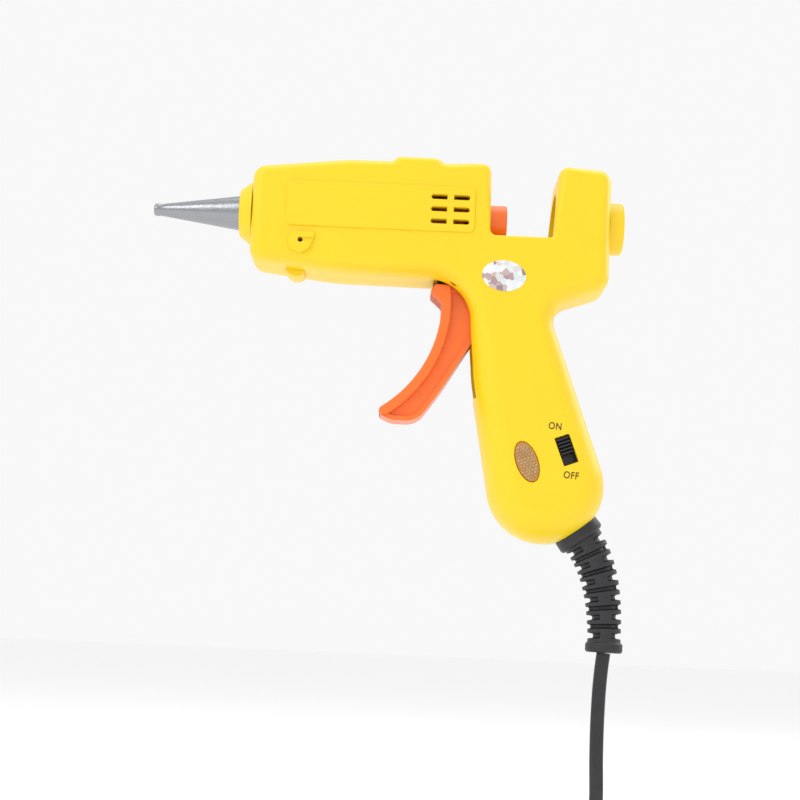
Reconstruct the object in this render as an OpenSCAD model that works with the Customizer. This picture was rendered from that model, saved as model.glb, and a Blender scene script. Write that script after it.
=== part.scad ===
// Mains hot-melt glue gun for 7 mm sticks, with its trigger feed, slide switch and lead.
// Origin at the middle of the grip. The nozzle points to -X, the gun's left side faces -Y, +Z is up.

/* [Housing] */
// Height of the glue-stick axis above the middle of the grip
axis_z = 63.5; // [63:0.1:64]
// Thickness of the closed housing, side to side
body_t = 28; // [27.5:0.5:29]
// Wall of the two moulded halves
wall = 2; // [1.8:0.1:2.1]
// Place of the housing's front face
front_x = -91.7; // [-92.5:0.1:-91]
// Height of the flat top of the barrel and of the rear pillar
top_z = 80.5; // [80:0.1:81]
// Height of the floor of the loading notch
notch_z = 56.8; // [56.5:0.1:57]

/* [Feed] */
// Diameter of the glue stick
stick_d = 7; // [6.8:0.1:7.2]
// Outer radius of the carriage tube
carriage_r = 6; // [5.8:0.1:6.1]
// Inner radius of the stick's guides
guide_r = 3.9; // [3.8:0.1:4]
// Height of the trigger pin
pivot_z = 45; // [44.8:0.1:45.2]
// Place of the trigger pin along the barrel
pivot_x = -24; // [-24.2:0.1:-23.8]
// Width of the trigger's finger face
trigger_w = 13; // [12:0.5:13.4]

/* [Nozzle] */
// Length of the bare cone in front of the collar
nozzle_len = 28; // [24:1:32]
// Radius of the cone's root
nozzle_root_r = 5.6; // [5:0.1:5.7]
// Radius of the cone's tip
nozzle_tip_r = 1.8; // [1.6:0.1:2.4]
// Radius of the melt channel at the tip
orifice_r = 0.9; // [0.6:0.1:1.2]

/* [Switch and lamp] */
// Width of the switch's window
switch_w = 4.8; // [4.6:0.1:5]
// Length of the switch's window
switch_len = 9.2; // [9:0.1:9.6]
// Travel of the switch's knob
switch_travel = 3.3; // [3:0.1:3.3]
// Half of the lamp lens's long axis
lens_long = 6.6; // [6:0.1:7]
// Half of the lamp lens's short axis
lens_short = 3.4; // [3:0.1:3.6]

/* [Lead] */
// Width of the flat twin lead
lead_w = 4.4; // [4.2:0.1:4.6]
// Radius of the stored coil at the middle of its turns
coil_r = 24; // [23:0.5:26]
// Level of the surface that the coil and the plug lie on
rest_z = -147; // [-150:1:-147]

/* [Hidden] */
$fn = 48;

half_t = body_t / 2;
ring_steps = 4;          // rings in each rounded edge
arc_steps = 3;           // points in each small corner of an outline
clear = 0.3;             // gap between moving faces
seam = 0.05;             // gap of the joint between the halves

yellow = "gold";
orange = "orangered";
black = [0.12, 0.12, 0.12];
steel = "silver";

// The housing seen from its left side, clockwise from the lower front corner.
// Each corner: x, z, radius in the outline, then how far its edge is rounded in the outline's
// plane and across it.
notch_front_x = -15.4;
notch_rear_x = 4.6;
rear_x = 23.2;
body_corners = [
    [front_x, 46.5, 4.4, 3.5, 7],
    [front_x, 77, 4.4, 3.5, 7],
    [-61, top_z, 30, 3.5, 7],
    [-47.4, top_z, 1.5, 3, 7],
    [-45.4, top_z + 1.4, 3.2, 2.3, 6],
    [-33.2, top_z + 1.4, 3.2, 2.3, 6],
    [-30.2, top_z, 3, 3.2, 7],
    [notch_front_x, top_z, 3.2, 2.3, 4],
    [notch_front_x, notch_z, 2, 1, 1],
    [notch_rear_x, notch_z, 1, 1, 1],
    [notch_rear_x + 1.6, top_z, 3.2, 2.3, 4],
    [rear_x, top_z, 4.5, 3.5, 7],
    [rear_x, 42.2, 5, 3.8, 7],
    [4.2, 34.9, 7, 6, 9],
    [29.6, -33, 18.2, 9, 12],
    [-9.2, -44.4, 18.2, 9, 12],
    [-19.6, 13, 60, 8, 11],
    [-21, 42.5, 13, 5, 8],
    [-65, 43.4, 60, 3.5, 7]];

// Turns a corner list into outline points: x, z, the inward normal's x and z, and both roundings.
function unit(v) = v / norm(v);
function inward(d) = [d[1], -d[0]];
function at2(c) = [c[0], c[1]];
function turned(v, a) = [v[0] * cos(a) - v[1] * sin(a), v[0] * sin(a) + v[1] * cos(a)];
function corner_arc(before, here, after) =
    let (u = unit(at2(here) - at2(before)), v = unit(at2(after) - at2(here)),
        turn = atan2(u[0] * v[1] - u[1] * v[0], u * v),
        side = turn < 0 ? 1 : -1,
        r = here[2],
        centre = at2(here) - u * r * tan(abs(turn) / 2) + inward(u) * r * side,
        steps = max(1, min(24, ceil(abs(turn) / 90 * arc_steps * (r > 10 ? 2.4 : 1)))))
    [for (k = [0 : steps])
        let (m = turned(inward(u), turn * k / steps), p = centre - m * r * side)
        [p[0], p[1], m[0], m[1], here[3], here[4]]];
function outline_points(corners) =
    let (n = len(corners))
    [for (i = [0 : n - 1])
        each corner_arc(corners[(i + n - 1) % n], corners[i], corners[(i + 1) % n])];

body_points = outline_points(body_corners);

// One rounded ring of the housing: depth is how far inside the outer skin it lies.
function skin_ring(points, depth, angle, side) =
    [for (p = points)
        let (a = max(p[4] - depth, 0.2), b = max(p[5] - depth, 0.2),
            move = depth + a * (1 - cos(angle)))
        [p[0] + p[2] * move, side * (half_t - depth - b + b * sin(angle)), p[1] + p[3] * move]];
function rim_ring(points, depth) =
    [for (p = points) [p[0] + p[2] * depth, 0, p[1] + p[3] * depth]];

// Faces between two rings of n points, in a stack of rings.
function band(n, ring, next) =
    [for (i = [0 : n - 1])
        let (j = (i + 1) % n)
        [ring * n + i, ring * n + j, next * n + j, next * n + i]];
function flipped(faces) = [for (f = faces) [for (i = [len(f) - 1 : -1 : 0]) f[i]]];

// Ring in the flat of the side, at a given depth from the outer face.
function flat_ring(points, depth, more, side) =
    [for (p = points)
        let (move = max(p[4], wall + 0.2) + more)
        [p[0] + p[2] * move, side * (half_t - depth), p[1] + p[3] * move]];

// Rounded border of one half of the housing, open in the flat of its side; -1 is the left half.
module border(side) {
    n = len(body_points);
    angles = [for (k = [0 : ring_steps]) 90 * k / ring_steps];
    rings = concat([rim_ring(body_points, 0)],
        [for (a = angles) skin_ring(body_points, 0, a, side)],
        [flat_ring(body_points, 0, 0.3, side), flat_ring(body_points, wall, 0.3, side)],
        [for (k = [ring_steps : -1 : 0]) skin_ring(body_points, wall, angles[k], side)],
        [rim_ring(body_points, wall)]);
    last = len(rings) - 1;
    faces = concat([for (r = [0 : last - 1]) each band(n, r, r + 1)], band(n, last, 0));
    polyhedron(points = [for (r = rings) each r], faces = side < 0 ? faces : flipped(faces));
}
// A cylinder along X, and one along Y that starts at the lower y.
module along_x(x0, x1, r, y = 0, z = axis_z) translate([x0, y, z]) rotate([0, 90, 0])
    cylinder(h = x1 - x0, r = r);
module along_y(x, z, y0, y1, r) translate([x, y0, z]) rotate([-90, 0, 0])
    cylinder(h = y1 - y0, r = r);
module cone_x(x0, x1, r0, r1) translate([x0, 0, axis_z]) rotate([0, 90, 0])
    cylinder(h = x1 - x0, r1 = r0, r2 = r1);
module block(low, high) translate(low) cube(high - low);
// A flat outline in the side view, as a plate between two depths.
module plate(y0, y1) translate([0, y1, 0]) rotate([90, 0, 0]) linear_extrude(y1 - y0) children();
module rounded_box_2d(w, h, r) {
    square([w - 2 * r, h], center = true);
    square([w, h - 2 * r], center = true);
    for (x = [-1, 1], z = [-1, 1]) translate([x * (w / 2 - r), z * (h / 2 - r)]) circle(r);
}

// ---- Side features of the housing ----
panel_x = [-80.2, -20.4];
panel_z = [57, 71.6];
panel_rise = 0.6;
module panel_2d() translate([(panel_x[0] + panel_x[1]) / 2, (panel_z[0] + panel_z[1]) / 2])
    rounded_box_2d(panel_x[1] - panel_x[0], panel_z[1] - panel_z[0], 1.6);

vent_rows = [axis_z + 0.7 - 3.95, axis_z + 0.7, axis_z + 0.7 + 3.95];
vent_spans = [[-34.4, -29.4], [-27.2, -22.2]];
vent_h = 1.45;
module vents_2d() for (z = vent_rows, s = vent_spans) translate([s[0], z - vent_h / 2])
    square([s[1] - s[0], vent_h]);

// Boss that takes one end of a wire stand.
socket_x = -75.3;
socket_z = 52.3;
socket_r = 0.8;
socket_rise = 1.2;
module stand_boss_2d() polygon([[-79.6, 52.6], [-77.2, 55], [-71.3, 55], [-70.8, 53.4],
    [-72.6, 49.8], [-75.2, 48], [-78.2, 49.2]]);

lens_at = [-1.4, -14.9];
switch_at = [10.8, -10.7];
handle_tilt = 21;        // slope of the grip's back, from upright
module at_grip(place) translate([place[0], 0, place[1]]) rotate([0, -handle_tilt, 0]) children();
// Slices of a lens-shaped plate: an ellipse as a polygon.
module ellipse_2d(rx, rz, n = 40) polygon([for (i = [0 : n - 1])
    [rx * cos(360 * i / n), rz * sin(360 * i / n)]]);

screw_places = [[-84.3, 52], [-55, 51.3], [-3, 44], [-4, 5], [-3, -25.5]];
post_r = 3;

trigger_slot = [[-32.6, 5.5], [-12, 44.6]];
slot_half = trigger_w / 2 + 0.6;

// Direction in which the lead leaves the grip, and the place where its flange sits.
exit_at = [15.4, -34.2];
exit_tilt = 38;          // from straight down, towards the rear
module at_exit() translate([exit_at[0], 0, exit_at[1]]) rotate([0, 180 - exit_tilt, 0]) children();
flange_r = 7.6;
flange_h = 4;
neck_r = 5;

module rib(x, t, z0, z1, hole_r) difference() {
    block([x, -half_t + 1.5, z0], [x + t, half_t - 1.5, z1]);
    along_x(x - 1, x + t + 1, hole_r);
}

// Flat of the side with its raised panel and stand boss, and the openings cut out of them.
// It is a hair thinner than the wall of the border it joins.
skim = 0.05;
module side_plate(near, far, side) plate(side < 0 ? -far : near, side < 0 ? -near : far) children();
module flat_side(side) difference() {
    union() {
        side_plate(half_t - wall + skim, half_t - skim, side)
            polygon([for (q = flat_ring(body_points, 0, 0.15, 1)) [q[0], q[2]]]);
        side_plate(half_t - 1, half_t + panel_rise, side) panel_2d();
        side_plate(half_t - 1.2, half_t + socket_rise, side) stand_boss_2d();
    }
    side_plate(half_t - wall - 1, half_t + 2, side) vents_2d();
}

// Everything that one half carries inside, cut off at the parting plane.
module half_insides() {
    rib(-87.6, 1.6, 48, 76, 7.2);
    rib(-64.5, 1.6, 58, 79, 7.2);
    rib(-43.5, 1.6, 58, 79, carriage_r + clear);
    for (s = screw_places) {
        along_y(s[0], s[1], -half_t + 1.6, 0, post_r);
        along_y(s[0], s[1], 0, half_t - 1.6, post_r + 0.7);
    }
    at_exit() translate([0, 0, -2.2]) cylinder(h = 1.3, r = 9);
    at_exit() translate([0, 0, -0.95]) cylinder(h = 0.75, r = 7.2);
    along_y(pivot_x, pivot_z, -half_t + 1, half_t - 1, 3.2);
    along_y(socket_x, socket_z, -half_t + 1, half_t - 1, 2.2);
    along_y(spring_post_x, spring_z, -half_t + 1, half_t - 1, spring_post_r);
}

// Room kept free inside both halves for the moving parts and the heater.
module inner_room() {
    along_y(pivot_x, pivot_z, -9.8, 9.8, 6);
    along_y(socket_x, socket_z, -10.6, 10.6, 3);
}

spring_post_x = 0.5;
spring_post_r = 1.8;
spring_z = 52.3;

module half_cuts() {
    along_x(front_x - 1, front_x + wall + 1, 8.6);
    along_x(notch_front_x - wall - 1, notch_front_x + 1, carriage_r + clear);
    along_x(notch_rear_x - 1, notch_rear_x + wall + 2, 10.4);
    block([notch_rear_x - 1, -10.4, notch_z], [notch_rear_x + wall + 2, 10.4, axis_z]);
    along_x(rear_x - wall - 1, rear_x + 1, 6.9);
    block([trigger_slot[0][0], -slot_half, trigger_slot[0][1]],
        [trigger_slot[1][0], slot_half, trigger_slot[1][1]]);
    at_exit() translate([0, 0, -6]) cylinder(h = 14, r = neck_r);
    at_exit() cylinder(h = 12, r = flange_r + 0.6);
    along_y(pivot_x, pivot_z, -12.3, 12.3, 1.5);
    along_y(pivot_x, pivot_z, -9.8, 9.8, 4.6);   // room for the trigger's hub
}

module left_shell() color(yellow) {
    difference() {
        union() {
            border(-1);
            flat_side(-1);
            intersection() {
                difference() {
                    half_insides();
                    inner_room();
                }
                block([front_x - 1, -half_t + 0.5, -50], [rear_x + 1, -seam / 2, 90]);
            }
            foot_rib(-5, -seam / 2);
        }
        half_cuts();
        side_plate(half_t - wall - 1, half_t + 2, -1) {
            translate(lens_at) rotate(handle_tilt) ellipse_2d(lens_short, lens_long);
            translate(switch_at) rotate(handle_tilt) square([switch_w, switch_len], center = true);
        }
        at_grip(switch_at) block([-3.7, switch_face, -7.7], [3.7, -5.5, 7.7]);
        along_y(socket_x, socket_z, -half_t - 2, -half_t + 4, socket_r);
        for (s = screw_places) along_y(s[0], s[1], -8, 1, 1.2);
    }
}

module right_shell() color(yellow) {
    difference() {
        union() {
            border(1);
            flat_side(1);
            intersection() {
                difference() {
                    half_insides();
                    inner_room();
                }
                block([front_x - 1, seam / 2, -50], [rear_x + 1, half_t - 0.5, 90]);
            }
            foot_rib(seam / 2, 5);
        }
        half_cuts();
        along_y(socket_x, socket_z, half_t - 4, half_t + 2, socket_r);
        for (s = screw_places) {
            along_y(s[0], s[1], -1, half_t + 1, 1.7);
            along_y(s[0], s[1], half_t - 6, half_t + 1, 2.7);
        }
    }
}

// Small rest under the barrel that the folded stand clicks against.
module foot_rib(y0, y1) plate(y0, y1) polygon([[-80, 46], [-80, 44], [-77.6, 42.4], [-75.8, 42.4],
    [-74, 43.6], [-74, 45.4]]);

// ---- Nozzle and heater ----
collar_x = front_x - 4.2;
tip_x = collar_x - nozzle_len;
chamber_x = [-90.5, -61.5];
chamber_r = 7;
thread_r = 4.4;
heater_z = [axis_z - 11, axis_z - 6];

module nozzle() color(steel) difference() {
    union() {
        translate([tip_x + 0.9, 0, axis_z]) sphere(r = nozzle_tip_r);
        cone_x(tip_x + 0.9, collar_x, nozzle_tip_r, nozzle_root_r);
        along_x(collar_x, chamber_x[0] - 0.4, nozzle_root_r);
        along_x(chamber_x[0] - 0.5, chamber_x[0] + 6, thread_r);
    }
    along_x(tip_x - 2, chamber_x[0] + 8, orifice_r);
    cone_x(collar_x - 8, collar_x, orifice_r, 2.8);
    along_x(collar_x - 0.01, chamber_x[0] + 8, 2.8);
}

module nozzle_collar() color(yellow) difference() {
    union() {
        cone_x(collar_x, front_x - 0.6, 7.7, 10.3);
        along_x(front_x - 0.6, front_x, 10.3);
        along_x(front_x, front_x + 2.8, 8.5);
    }
    along_x(collar_x - 1, front_x + 4, nozzle_root_r + 0.15);
    along_x(chamber_x[0] - 0.6, front_x + 4, chamber_r + 0.2);
}

module heater_barrel() color(steel) difference() {
    union() {
        along_x(chamber_x[0], chamber_x[1], chamber_r);
        block([-79.5, -5, heater_z[0]], [-66, 5, heater_z[1]]);
        along_x(chamber_x[1], chamber_x[1] + 5, 4.8);
    }
    along_x(chamber_x[0] - 1, chamber_x[0] + 6.5, thread_r + 0.05);
    along_x(chamber_x[0] + 6, chamber_x[1] + 6, guide_r);
    block([-82, -3.6, heater_z[0] + 0.9], [-65, 3.6, heater_z[0] + 3.5]);
}

module heater_film() color("peru") difference() {
    block([-79.3, -3.5, heater_z[0] + 1], [-65.2, 3.5, heater_z[0] + 3.4]);
    block([-82, -3.3, heater_z[0] + 1.2], [-65, 3.3, heater_z[0] + 3.2]);
}

module ptc_heater() color("dimgray")
    block([-78, -3.2, heater_z[0] + 1.3], [-67, 3.2, heater_z[0] + 3.1]);

module inlet_sleeve() color("seashell") difference() {
    along_x(-61.4, -52.4, 5.9);
    along_x(-62, -56.4, 4.85);
    along_x(-57, -52, guide_r - 0.1);
}

module sleeve_clamp() color(steel) difference() {
    along_x(-59.6, -57.4, 6.5);
    along_x(-60, -57, 5.95);
}

// ---- Feed ----
carriage_x = [-46, -9.7];
fork_lean = 8;           // lean of the trigger's arms at rest, half of the trigger's swing
pin_x = pivot_x + (axis_z - pivot_z) * tan(fork_lean);
pawl_at = [-33, axis_z - 7.9];

module carriage() color(orange) difference() {
    union() {
        along_x(carriage_x[0], carriage_x[1], carriage_r);
        for (y = [-10.2, 5]) along_y(pin_x, axis_z, y, y + 5.2, 1.5);
        for (y = [-3.8, 2.3]) block([-35.6, y, pawl_at[1] - 2.2], [-30, y + 1.5, axis_z - 5]);
        block([-31, -3.8, spring_z - 2], [-30, 3.8, axis_z - 5]);
    }
    along_x(carriage_x[0] - 1, carriage_x[1] + 1, guide_r);
    block([-35.8, -2.3, axis_z - 6.6], [-31, 2.3, axis_z - 3]);
    along_y(pawl_at[0], pawl_at[1], -5, 5, 0.95);
}

module gripper_pawl() color(steel) difference() {
    union() {
        along_y(pawl_at[0], pawl_at[1], -2, 2, 1.7);
        plate(-2, 2) polygon([[-33.8, 55.4], [-32.2, 55.4], [-32.6, 58.6], [-33.6, 59.7],
            [-34.8, 58.4]]);
    }
    along_y(pawl_at[0], pawl_at[1], -3, 3, 0.95);
}

module gripper_pin() color(steel) along_y(pawl_at[0], pawl_at[1], -3.9, 3.9, 0.9);

// Trigger seen from the left, clockwise from the top of its hub.
finger_centre = [-70, 35];
finger_r = 40.4;
trigger_corners = [
    [-28.6, 46, 2, 0, 0],
    [-19.6, 46, 2, 0, 0],
    [-18.9, 24.4, 2, 0, 0],
    [-29, 7.4, 60, 0, 0],
    [-36, -2.6, 7, 0, 0],
    [-44.3, -2.6, 6, 0, 0],
    [-49.9, 0, 1.6, 0, 0],
    [-30.2, 13, finger_r, 0, 0],
    [-29.6, 35.4, 1.6, 0, 0],
    [-33.6, 39, 1, 0, 0],
    [-31.9, 41.7, 0.5, 0, 0],
    [-28.6, 41.7, 1, 0, 0]];
module trigger_2d() polygon([for (p = outline_points(trigger_corners)) [p[0], p[1]]]);

module trigger() color(orange) difference() {
    union() {
        plate(-4.2, 4.2) trigger_2d();
        intersection() {
            plate(-trigger_w / 2, trigger_w / 2) trigger_2d();
            along_y(finger_centre[0], finger_centre[1], -9, 9, finger_r + 3);
        }
        plate(-5.2, 5.2) difference() {
            trigger_2d();
            offset(delta = -1.5) trigger_2d();
            translate([-36, 20.4]) square([20, 30]);
            translate(finger_centre) circle(r = finger_r + 1.5);
        }
        along_y(pivot_x, pivot_z, -9.4, 9.4, 4.2);
        for (y = [-9.4, 6.6]) translate([pivot_x, y, pivot_z]) rotate([0, fork_lean, 0])
            difference() {
                block([-3.2, 0, 0], [3.2, 2.8, 21]);
                block([-1.8, -1, 14.5], [1.8, 4, 22]);
            }
    }
    along_y(pivot_x, pivot_z, -10, 10, 1.53);
}

module trigger_pin() color(steel) along_y(pivot_x, pivot_z, -11.8, 11.8, 1.48);

// ---- Sweeps ----
function spline_at(a, b, c, d, t) = 0.5 * ((2 * b) + (c - a) * t
    + (2 * a - 5 * b + 4 * c - d) * t * t + (3 * b - a - 3 * c + d) * t * t * t);
function smooth_route(pts, per) =
    let (n = len(pts), ends = concat([2 * pts[0] - pts[1]], pts, [2 * pts[n - 1] - pts[n - 2]]))
    concat([for (i = [0 : n - 2]) for (k = [0 : per - 1])
        spline_at(ends[i], ends[i + 1], ends[i + 2], ends[i + 3], k / per)], [pts[n - 1]]);
function along(path, i) = unit(path[min(i + 1, len(path) - 1)] - path[max(i - 1, 0)]);
function across(v, t) = unit(v - t * (v * t));
function side_vectors(path, first) =
    [for (i = 0, v = across(first, along(path, 0)); i < len(path);
        i = i + 1, v = across(v, along(path, min(i, len(path) - 1)))) v];
// Closed tube along a path, with its radius given at each point.
module sweep(path, radii, sides, first) {
    n = len(path);
    vs = side_vectors(path, first);
    points = [for (i = [0 : n - 1]) for (k = [0 : sides - 1])
        let (t = along(path, i), v = vs[i], w = cross(t, v), a = 360 * k / sides)
        path[i] + radii[i] * (v * cos(a) + w * sin(a))];
    polyhedron(points = points, faces = concat(
        [for (i = [0 : n - 2]) for (k = [0 : sides - 1])
            let (j = (k + 1) % sides)
            [i * sides + k, (i + 1) * sides + k, (i + 1) * sides + j, i * sides + j]],
        [[for (k = [0 : sides - 1]) k]],
        [[for (k = [sides - 1 : -1 : 0]) (n - 1) * sides + k]]));
}
module tube(pts, r, per, sides, first = [1, 0, 0]) {
    path = smooth_route(pts, per);
    sweep(path, [for (p = path) r], sides, first);
}

spring_turns = 14;
spring_wire = 0.28;
spring_coil_r = 1.45;
module return_spring() color(steel) {
    x0 = -29.7;
    x1 = spring_post_x - 2.1;
    steps = spring_turns * 10;
    path = [for (i = [0 : steps]) let (a = 360 * spring_turns * i / steps)
        [x0 + (x1 - x0) * i / steps, spring_coil_r * cos(a), spring_z + spring_coil_r * sin(a)]];
    sweep(path, [for (p = path) spring_wire], 5, [0, 0, 1]);
}

module rear_ring() color(yellow) difference() {
    union() {
        along_x(rear_x, rear_x + 4, 8.4);
        cone_x(rear_x + 4, rear_x + 4.7, 8.4, 7.7);
        along_x(rear_x - wall - 2, rear_x, 6.8);
        along_x(rear_x - wall - 2, rear_x - wall - 0.2, 7.8);
    }
    along_x(rear_x - wall - 3, rear_x + 6, guide_r);
    cone_x(rear_x + 3.7, rear_x + 4.8, guide_r, guide_r + 1.2);
}

// ---- Lamp and switch ----
module indicator_lens() color("peru") at_grip(lens_at) {
    plate(-half_t - 0.35, -half_t + wall + 0.1) ellipse_2d(lens_short - 0.1, lens_long - 0.1);
    plate(-half_t + wall + 0.1, -half_t + wall + 0.8) ellipse_2d(lens_short + 0.8, lens_long + 0.8);
}

module indicator_lamp() color("lightsalmon") at_grip(lens_at)
    translate([0, -8.6, -4]) {
        cylinder(h = 7, r = 1.9);
        translate([0, 0, 7]) sphere(r = 1.9);
    }

module lamp_resistor() color("tan") at_grip(lens_at) translate([0, -4, -4])
    cylinder(h = 6.5, r = 1.2);

switch_face = -half_t + wall + 0.1;
module switch_body() color(black) at_grip(switch_at) difference() {
    block([-3.6, switch_face, -7.6], [3.6, -5.6, 7.6]);
    block([-2.6, switch_face - 1, -4.9], [2.6, -8.6, 4.9]);
}

module switch_knob() color(black) at_grip(switch_at) {
    top = switch_len / 2 - 0.3;
    low = top - (switch_len - 0.4 - switch_travel);
    block([-switch_w / 2 + 0.3, -half_t + 1.1, low], [switch_w / 2 - 0.3, -8.8, top]);
    for (k = [0 : 4]) block([-switch_w / 2 + 0.3, -half_t + 0.5, top - 0.7 - k * 1.15],
        [switch_w / 2 - 0.3, -half_t + 1.2, top - k * 1.15]);
}

module switch_contacts() color("gold") at_grip(switch_at) for (z = [-5, 0, 5])
    block([-1, -5.6, z - 0.25], [1, -1.6, z + 0.25]);

// ---- Lead inside the grip ----
module cord_clamp() color(black) at_exit() difference() {
    block([-7.6, 1.4, -13.5], [7.6, 3.6, -9]);
    for (x = [-5.6, 5.6]) translate([x, 0, -11.2]) rotate([-90, 0, 0]) cylinder(h = 5, r = 1.15);
}

module clamp_screws() color(steel) at_exit() for (x = [-5.6, 5.6])
    translate([x, -1, -11.2]) rotate([-90, 0, 0]) {
        cylinder(h = 4.7, r = 1.1);
        translate([0, 0, 4.65]) cylinder(h = 1.4, r = 2);
    }

module housing_screws() color(steel) for (s = screw_places) {
    along_y(s[0], s[1], -6.5, half_t - 5.9, 1.15);
    difference() {
        along_y(s[0], s[1], half_t - 6, half_t - 4, 2.4);
        for (a = [0, 90]) translate([s[0], half_t - 4, s[1]]) rotate([0, a, 0])
            cube([3, 1.6, 0.6], center = true);
    }
}

live_route = [[13, 0, -30], [9.2, 0.2, -25], [8.2, 0.8, -20.6], [10, 0.6, -16.8], [12.6, -1.9, -15.4]];
switched_route = [[9, -1.9, -6], [8.6, 0.6, -4], [8, 4, 2], [5, 8, 12], [2, 10, 24], [-6, 10.6, 36],
    [-10, 10.6, 44], [-15, 10.7, 50], [-24, 10.8, 53.4], [-36, 10.8, 55.4], [-48, 10.8, 56],
    [-62, 10.8, 56], [-67, 8.6, 54.8], [-69, 5.9, 55]];
neutral_route = [[11.6, 0, -31], [7.8, 0.2, -26], [4.6, -1, -20], [4.5, -2, -8], [3.6, 0, 8],
    [2, 1, 22], [-4, -4, 34], [-9, -9, 42], [-15, -10.7, 50], [-24, -10.8, 53.4], [-36, -10.8, 55.4],
    [-48, -10.8, 56], [-62, -10.8, 56], [-67, -8.6, 54.8], [-69, -5.9, 55]];
wire_r = 0.75;
module wire_live() color("saddlebrown") tube(live_route, wire_r, 3, 6, [0, 1, 0]);
module wire_switched() color("saddlebrown") tube(switched_route, wire_r, 3, 6, [1, 0, 0]);
module wire_neutral() color("royalblue") tube(neutral_route, wire_r, 3, 6, [1, 0, 0]);

// ---- Lead outside ----
boot_start = [17.2, -36.5];
boot_end = [25.6, -72.6];
boot_bend = [[24.8, -46.2], [25.9, -58.6]];
function boot_at(t) = boot_start * pow(1 - t, 3) + boot_bend[0] * 3 * t * pow(1 - t, 2)
    + boot_bend[1] * 3 * t * t * (1 - t) + boot_end * pow(t, 3);
module strain_relief() color(black) {
    at_exit() {
        cylinder(h = flange_h, r = flange_r);
        translate([0, 0, -3.2]) cylinder(h = 3.3, r = neck_r - 0.1);
        translate([0, 0, -3.9]) cylinder(h = 1.4, r = 6);
    }
    rings = 22;
    path = [for (i = [0 : rings]) let (p = boot_at(i / rings)) [p[0], 0, p[1]]];
    sweep(path, [for (i = [0 : rings]) i > rings - 2 ? 5.6 : 6.4 - 1.1 * i / rings], 16, [0, 1, 0]);
}

coil_at = [-1, 18];
coil_half_w = 5.2;
coil_half_h = 7;
tie_t = 0.7;
coil_z = rest_z + tie_t + 0.1 + coil_half_h;
plug_y = 45;
plug_z = rest_z + 7;
cord_route = [[25.6, 0, -72.6], [25, 0, -78], [24.5, 0, -85], [24.2, 0, -95], [24.2, 0, -105],
    [24.4, 0, -112], [24.5, 0, -116.5], [24.6, 1.4, -123.4], [24.8, 5.3, -129.2],
    [24.9, 11.1, -133.1], [25, 18, -134.5]];
tail_route = [[-1, 43.9, -134.4], [-8, 44.2, -134.9], [-16, 44.6, -136.4], [-24, 45, -138.8],
    [-30, 45, -140]];
module cord() color(black) tube(cord_route, lead_w / 2, 2, 8, [1, 0, 0]);
module cord_tail() color(black) tube(tail_route, lead_w / 2, 2, 8, [0, 1, 0]);

module stadium_2d(hw, hh) {
    for (z = [-1, 1]) translate([0, z * (hh - hw)]) circle(r = hw);
    square([2 * hw, 2 * (hh - hw)], center = true);
}
module cord_coil() color(black) translate([coil_at[0], coil_at[1], coil_z])
    rotate_extrude($fn = 72) translate([coil_r, 0]) stadium_2d(coil_half_w, coil_half_h);

module cord_tie() color([0.2, 0.2, 0.2]) translate([coil_at[0], coil_at[1], coil_z])
    rotate([0, 0, 196]) rotate_extrude(angle = 16) translate([coil_r, 0]) difference() {
        stadium_2d(coil_half_w + tie_t + 0.05, coil_half_h + tie_t + 0.05);
        stadium_2d(coil_half_w + 0.05, coil_half_h + 0.05);
    }

plug_x = [-66, -44, -30];
module plug_body() color(black) {
    translate([0, plug_y, plug_z - 7]) linear_extrude(14) polygon([[plug_x[0], -10],
        [plug_x[0], 10], [plug_x[0] + 10, 10], [plug_x[1], 5], [plug_x[1], -5],
        [plug_x[0] + 10, -10]]);
    along_x(plug_x[1] - 1, plug_x[2], 4, plug_y, plug_z);
}
blade_gap = 12.7;
module plug_pins() color(steel) for (s = [-1, 1])
    block([plug_x[0] - 17.5, plug_y + s * blade_gap / 2 - 0.75, plug_z - 3.15],
        [plug_x[0], plug_y + s * blade_gap / 2 + 0.75, plug_z + 3.15]);

module inspection_sticker() color("whitesmoke") translate([-10.6, 0, 43.6]) rotate([0, 3.5, 0])
    plate(-half_t - 0.15, -half_t - 0.01) ellipse_2d(6.9, 4.9);

left_shell();
right_shell();
nozzle();
nozzle_collar();
heater_barrel();
ptc_heater();
heater_film();
inlet_sleeve();
sleeve_clamp();
carriage();
gripper_pawl();
gripper_pin();
trigger();
trigger_pin();
return_spring();
rear_ring();
indicator_lens();
indicator_lamp();
lamp_resistor();
switch_body();
switch_knob();
switch_contacts();
cord_clamp();
clamp_screws();
housing_screws();
inspection_sticker();
wire_live();
wire_switched();
wire_neutral();
strain_relief();
cord();
cord_coil();
cord_tail();
cord_tie();
plug_body();
plug_pins();
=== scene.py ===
import math
import bpy
import bmesh
from mathutils import Vector, Matrix


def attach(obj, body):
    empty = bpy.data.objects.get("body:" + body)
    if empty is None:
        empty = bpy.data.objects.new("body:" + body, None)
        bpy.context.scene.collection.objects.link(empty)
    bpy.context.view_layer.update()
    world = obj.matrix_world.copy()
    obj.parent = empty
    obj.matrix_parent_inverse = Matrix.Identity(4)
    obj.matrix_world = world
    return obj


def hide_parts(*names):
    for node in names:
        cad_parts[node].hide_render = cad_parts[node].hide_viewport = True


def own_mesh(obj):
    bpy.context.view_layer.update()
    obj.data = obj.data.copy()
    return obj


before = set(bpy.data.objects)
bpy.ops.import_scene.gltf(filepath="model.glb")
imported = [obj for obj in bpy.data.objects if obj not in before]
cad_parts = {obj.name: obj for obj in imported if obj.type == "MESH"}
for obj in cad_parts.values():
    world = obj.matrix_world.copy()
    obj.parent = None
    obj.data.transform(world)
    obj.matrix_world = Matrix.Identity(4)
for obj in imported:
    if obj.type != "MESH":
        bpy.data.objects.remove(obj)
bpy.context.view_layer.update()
mm = 0.001

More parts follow.
